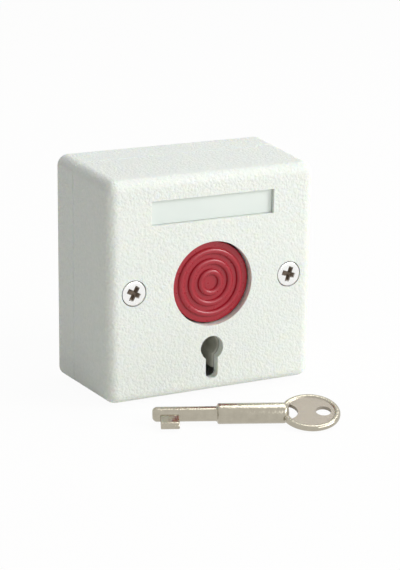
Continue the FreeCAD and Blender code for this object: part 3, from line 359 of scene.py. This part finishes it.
# %% Button
FACE, FLANGE_FRONT, FLANGE_BACK, CAP_INSIDE = 25.4, 18.05, 17.05, 22.2
CAP, FLANGE, SKIRT_INSIDE = 9.5, 10.55, 8.1
BEADS, BEAD_PITCH, BEAD_HALF, BEAD_HEIGHT = 3, 2.45, 0.75, 0.7
BEAD_STEPS, STEM_HALF = 8, 3
face = [(0, -FACE)]
for ring in range(1, BEADS + 1):
    for step in range(BEAD_STEPS + 1):
        angle = math.pi * step / BEAD_STEPS
        face.append((BEAD_PITCH * ring - BEAD_HALF * math.cos(angle),
                     -FACE - BEAD_HEIGHT * math.sin(angle)))
skirt = [(8.3, -FACE), (CAP, -FACE), (CAP, -FLANGE_FRONT), (FLANGE, -FLANGE_FRONT), (FLANGE, -FLANGE_BACK),
         (SKIRT_INSIDE, -FLANGE_BACK), (SKIRT_INSIDE, -CAP_INSIDE), (0, -CAP_INSIDE)]
button = bmesh.new()
turned(button, face + softened(skirt, 0.3))
stem = [(-3.5, -7.75), (3.5, -7.75), (3.5, -12.75), (2.1, -12.75),
        (2.1, -14.25), (3.5, -14.25), (3.5, -22.25), (-3.5, -22.25)]
side = button.faces.new([button.verts.new((x, y, -STEM_HALF)) for x, y in stem])
lifted = bmesh.ops.extrude_face_region(button, geom=[side], use_keep_orig=True)["geom"]
far_side = [v for v in lifted if isinstance(v, bmesh.types.BMVert)]
bmesh.ops.translate(button, vec=(0, 0, 2 * STEM_HALF), verts=far_side)
block(button, (-1.2, -7.8, -1.2), (1.2, -6.25, 1.2))
finished("button_moulding", button, "red_plastic", "button", "push_button")

# %% [markdown]
# Two pan-head screws hold the cover. The head has a rounded edge and a cross
# recess that narrows towards its bottom. The shank and head are turned, the flat
# top is filled round the cross, and the recess is bridged from two outlines.

# %% Cover screws
SCREW_ACROSS, HEAD_BACK = 19.45, 25.3
FLAT, HEAD, SHANK, HEAD_TOP, RECESS_BOTTOM = 2.5, 2.8, 1.25, -1.6, -0.5
CROSS_TOP, CROSS_BOTTOM = (3.6, 1.15), (2.0, 0.5)


def cross_outline(length, width):
    a, b = length / 2, width / 2
    return [(-a, -b), (-b, -b), (-b, -a), (b, -a), (b, -b), (a, -b),
            (a, b), (b, b), (b, a), (-b, a), (-b, b), (-a, b)]


def loop_of(mesh, points):
    ring = [mesh.verts.new(p) for p in points]
    return [mesh.edges.new((ring[i], ring[i - 1])) for i in range(len(ring))], ring


def cover_screw(name, across, turn, replaced):
    mesh = bmesh.new()
    corners = [(FLAT, HEAD_TOP), (HEAD, HEAD_TOP + 0.1), (HEAD, 0), (SHANK, 0),
               (SHANK, 19.6), (0.9, 20.0), (0, 20.0)]
    profile = softened(corners, 0.25)
    turned(mesh, profile, steps=64)
    rim = [e for e in mesh.edges if e.is_boundary]
    angle = Matrix.Rotation(math.radians(turn), 3, "Y")
    top = [angle @ Vector((x, HEAD_TOP, z)) for x, z in cross_outline(*CROSS_TOP)]
    low = [angle @ Vector((x, RECESS_BOTTOM, z)) for x, z in cross_outline(*CROSS_BOTTOM)]
    upper, _ = loop_of(mesh, top)
    bmesh.ops.triangle_fill(mesh, use_beauty=True, edges=rim + upper)
    lower, ring = loop_of(mesh, low)
    bmesh.ops.bridge_loops(mesh, edges=upper + lower)
    mesh.faces.new(ring)
    place = Matrix.Translation((across, -HEAD_BACK, 0))
    screw = finished(name, mesh, "nickel", "housing", replaced, place)
    screw.data.materials[0] = zinc.material  # the slot keeps the record's name, the look is zinc


cover_screw("screw_left", -SCREW_ACROSS, 28, "cover_screw_left")
cover_screw("screw_right", SCREW_ACROSS, 18, "cover_screw_right")

# %% [markdown]
# The reset key is a die casting: a thin round shaft with the bit at its end,
# a thicker sleeve and a round flat bow with a raised rim, all nickel plated.
# It is drawn along X from its tip and then laid down where it rests, on its
# sleeve and the edge of its bow. Shaft and sleeve are one turned shell.

# %% Shaft and sleeve of the key
SHAFT, SLEEVE, SHOULDER, SLEEVE_END, DOME, LENGTH, BOW = 1.65, 2.3, 14.2, 28.9, 1.2, 41.4, 6.6
RIM, THICK, WEB = 1.3, 1.4, 0.8
roll = math.asin(SLEEVE / math.hypot(BOW, THICK / 2)) - math.atan2(THICK / 2, BOW)
TIP, TURN, FLOOR_LEVEL = (-20.4, -38.5), math.radians(-22.6), -26.5
lie = (Matrix.Translation((*TIP, FLOOR_LEVEL + SLEEVE)) @ Matrix.Rotation(TURN, 4, "Z")
       @ Matrix.Rotation(roll, 4, "X"))

key = bmesh.new()
profile = [(0, 0), (0, 0.9), (0.25, 1.3), (0.75, SHAFT), (SHOULDER - 0.3, SHAFT), (SHOULDER, SHAFT + 0.12),
           (SHOULDER + 0.15, SLEEVE - 0.05), (SHOULDER + 0.6, SLEEVE), (SLEEVE_END, SLEEVE)]
quarter = [math.pi * i / 16 for i in range(1, 9)]
dome = [(SLEEVE_END + DOME * math.sin(t), SLEEVE * math.cos(t)) for t in quarter]
dome[-1] = (SLEEVE_END + DOME, 0)
turned(key, softened(profile, 0.3) + dome, axis=(1, 0, 0), steps=64)
print("key shaft:", len(key.faces), "faces")

# %% [markdown]
# The bow's rim is turned. Inside it lies a thinner web with two holes: a round one
# for the key ring and a wide opening where the sleeve meets the bow. The web is
# filled between these outlines on both sides, and the holes' walls are bridged.

# %% Bow of the key
bow = bmesh.new()
half, web = THICK / 2, WEB / 2
rim = softened([(BOW - RIM, -web), (BOW - RIM + 0.3, -half), (BOW - 0.35, -half), (BOW, -half + 0.35),
                (BOW, half - 0.35), (BOW - 0.35, half), (BOW - RIM + 0.3, half), (BOW - RIM, web)], 0.25, 3)
ring = [bow.verts.new((x, 0, z)) for x, z in rim]
edges = [bow.edges.new((ring[i], ring[i + 1])) for i in range(len(ring) - 1)]
bmesh.ops.spin(bow, geom=ring + edges, cent=(0, 0, 0), axis=(0, 0, 1), angle=2 * math.pi, steps=96,
               use_merge=True, use_duplicate=False)
bmesh.ops.remove_doubles(bow, verts=bow.verts, dist=1e-5)


def arc(across, radius, first, last, count):
    turns = (first + (last - first) * i / count for i in range(count))
    return [(across + radius * math.cos(t), radius * math.sin(t)) for t in turns]


def cut(mesh, outline, level):
    return loop_of(mesh, [(x, y, level) for x, y in outline])[0]


def rim_at(level):
    return [e for e in bow.edges if e.is_boundary and all(abs(v.co.z - level) < 1e-4 for v in e.verts)]


RING_HOLE, RING_HOLE_IN = 1.75, 3.75
ring_hole = arc(BOW - RING_HOLE_IN, RING_HOLE, 0, 2 * math.pi, 40)
reach, inner, wide = -5.9, BOW - RIM - 0.15, 3.15
meet = (inner ** 2 - wide ** 2 + reach ** 2) / (2 * reach)
front, back = math.acos((meet - reach) / wide), math.acos(meet / inner)
opening = arc(reach, wide, -front, front, 28) + arc(0, inner, back, 2 * math.pi - back, 12)
walls = []
for level in (web, -web):
    cuts = [cut(bow, ring_hole, level), cut(bow, opening, level)]
    bmesh.ops.triangle_fill(bow, use_beauty=True, edges=rim_at(level) + cuts[0] + cuts[1])
    walls.append(cuts)
for upper, lower in zip(*walls):
    bmesh.ops.bridge_loops(bow, edges=upper + lower)
bmesh.ops.translate(bow, vec=(LENGTH - BOW, 0, 0), verts=bow.verts)
bow_data = bpy.data.meshes.new("bow")
bow.to_mesh(bow_data)
bow.free()
key.from_mesh(bow_data)
bpy.data.meshes.remove(bow_data)
print("key with bow:", len(key.faces), "faces")

# %% [markdown]
# The bit is a short block under the tip. It is extruded from its section and all
# its edges are bevelled, as a casting's edges are.

# %% Bit of the key
BIT_START, BIT_LONG, BIT_SOFT = 1.7, 4.1, 0.18
section = [(-0.6, -0.85), (-4.55, -0.85), (-5.2, -0.3), (-5.2, 0.3), (-4.55, 0.85), (-0.6, 0.85)]
bit = key.faces.new([key.verts.new((BIT_START, y, z)) for y, z in section])
grown = bmesh.ops.extrude_face_region(key, geom=[bit], use_keep_orig=True)["geom"]
bit_verts = [v for v in grown if isinstance(v, bmesh.types.BMVert)]
bmesh.ops.translate(key, vec=(BIT_LONG, 0, 0), verts=bit_verts)
bit_edges = list({e for v in bit_verts + list(bit.verts) for e in v.link_edges})
bmesh.ops.bevel(key, geom=bit_edges, offset=BIT_SOFT, segments=3, profile=0.5,
                affect="EDGES", material=-1)
finished("key", key, "nickel", "housing", "reset_key", lie)

# %% [markdown]
# The two springs are round wire wound into a helix. Half a turn at each end lies
# flat against its seat, which a plain spun helix doesn't do, so the rings of the
# wire are placed one by one.

# %% Springs
def wire(name, body, replaced, radius, thickness, length, turns, place):
    mesh = bmesh.new()
    steps, sides = int(turns * 28), 10
    rings = []
    for step in range(steps + 1):
        share = step / steps
        angle = 2 * math.pi * turns * share
        rise = min(1.0, max(0.0, (share - 0.5 / turns) / (1 - 1 / turns)))
        centre = Vector((radius * math.cos(angle), radius * math.sin(angle),
                         thickness / 2 + rise * (length - thickness)))
        out = Vector((math.cos(angle), math.sin(angle), 0))
        ring = [mesh.verts.new(centre + thickness / 2 * (out * math.cos(a) + Vector((0, 0, math.sin(a)))))
                for a in (2 * math.pi * side / sides for side in range(sides))]
        rings.append(ring)
    for first, second in zip(rings, rings[1:]):
        for side in range(sides):
            mesh.faces.new((first[side], first[side - 1], second[side - 1], second[side]))
    mesh.faces.new(rings[0])
    mesh.faces.new(rings[-1])
    return finished(name, mesh, "steel", body, replaced, place)


low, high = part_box("return_spring")
length = (high.y - low.y) * 1000
place = Matrix.Translation((0, high.y * 1000, 0)) @ Matrix.Rotation(math.pi / 2, 4, "X")
spring = wire("button_spring", "housing", "return_spring", 5.6, 0.6, length, 4.5, place)
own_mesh(spring)

low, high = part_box("latch_spring")
length = (high.x - low.x) * 1000
middle = (low + high) * 500
place = Matrix.Translation((low.x * 1000, middle.y, middle.z)) @ Matrix.Rotation(math.pi / 2, 4, "Y")
spring = wire("slide_spring", "housing", "latch_spring", 1.3, 0.35, length, 5.5, place)
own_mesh(spring)

# %% [markdown]
# A plain pale floor under the box. The eye, and whatever shines, sees it nearly
# as white as the background, and a little of the object's shadow stays on it.
# To everything else it is slightly warm matt paper.

# %% Floor
FLOOR, FLOOR_HALF, FLOOR_GAP, FLOOR_GLOW = -0.0265, 4, 0.00002, 0.95


def seen_rays(tree):
    """1 for rays of the eye, of gloss and of glass, 0 for the light on matt surfaces."""
    path = tree.nodes.new("ShaderNodeLightPath")
    return (Value(tree, path.outputs["Is Camera Ray"]) + Value(tree, path.outputs["Is Glossy Ray"])
            + Value(tree, path.outputs["Is Transmission Ray"])).limited()


floor_mesh = bmesh.new()
bmesh.ops.create_grid(floor_mesh, x_segments=1, y_segments=1, size=FLOOR_HALF)
bmesh.ops.translate(floor_mesh, vec=(0, 0, FLOOR - FLOOR_GAP), verts=floor_mesh.verts)
floor_data = bpy.data.meshes.new("floor")
floor_mesh.to_mesh(floor_data)
floor_mesh.free()
floor = bpy.data.objects.new("floor", floor_data)
bpy.context.scene.collection.objects.link(floor)

paper = bpy.data.materials.new("paper")
paper.use_nodes = True
tree = paper.node_tree
tree.nodes.clear()
out = tree.nodes.new("ShaderNodeOutputMaterial")
mixed = tree.nodes.new("ShaderNodeMixShader")
plain = tree.nodes.new("ShaderNodeBsdfDiffuse")
plain.inputs["Color"].default_value = (0.865, 0.855, 0.82, 1)
glow = tree.nodes.new("ShaderNodeEmission")
put(tree, mixed.inputs[0], seen_rays(tree) * FLOOR_GLOW)
tree.links.new(plain.outputs[0], mixed.inputs[1])
tree.links.new(glow.outputs[0], mixed.inputs[2])
tree.links.new(mixed.outputs[0], out.inputs[0])
floor_data.materials.append(paper)
print("floor at", FLOOR)

# %% [markdown]
# The room is white to the eye and to whatever shines, and lights matt surfaces
# only dimly, so the lamps give the box its form.

# %% Room
DIM = 0.35
scene = bpy.context.scene
scene.view_settings.view_transform = "Standard"
world = bpy.data.worlds.new("studio")
scene.world = world
world.use_nodes = True
room = world.node_tree
background = room.nodes["Background"]
background.inputs["Color"].default_value = (1, 1, 1, 1)
put(room, background.inputs["Strength"], DIM + (1 - DIM) * seen_rays(room))
print("room:", world.name)

# %% [markdown]
# Three large square lamps give soft shadows: the strongest from the right, a weak
# one from the front, and one from above for the top of the box.

# %% Lamps
def lamp(name, place, target, size, power):
    data = bpy.data.lights.new(name, "AREA")
    data.shape = "SQUARE"
    data.size = size
    data.energy = power
    lamp_object = bpy.data.objects.new(name, data)
    aim = (Vector(target) - Vector(place)).to_track_quat("-Z", "Y")
    lamp_object.matrix_world = Matrix.Translation(place) @ aim.to_matrix().to_4x4()
    scene.collection.objects.link(lamp_object)


lamp("side_lamp", (0.7, -0.6, 0.5), (0, 0, 0), 0.45, 5.6)
lamp("front_lamp", (0.3, -0.9, 0.35), (0, 0, 0), 0.5, 2.2)
lamp("top_lamp", (0.35, 0.1, 0.85), (0, 0, 0), 0.6, 2.8)
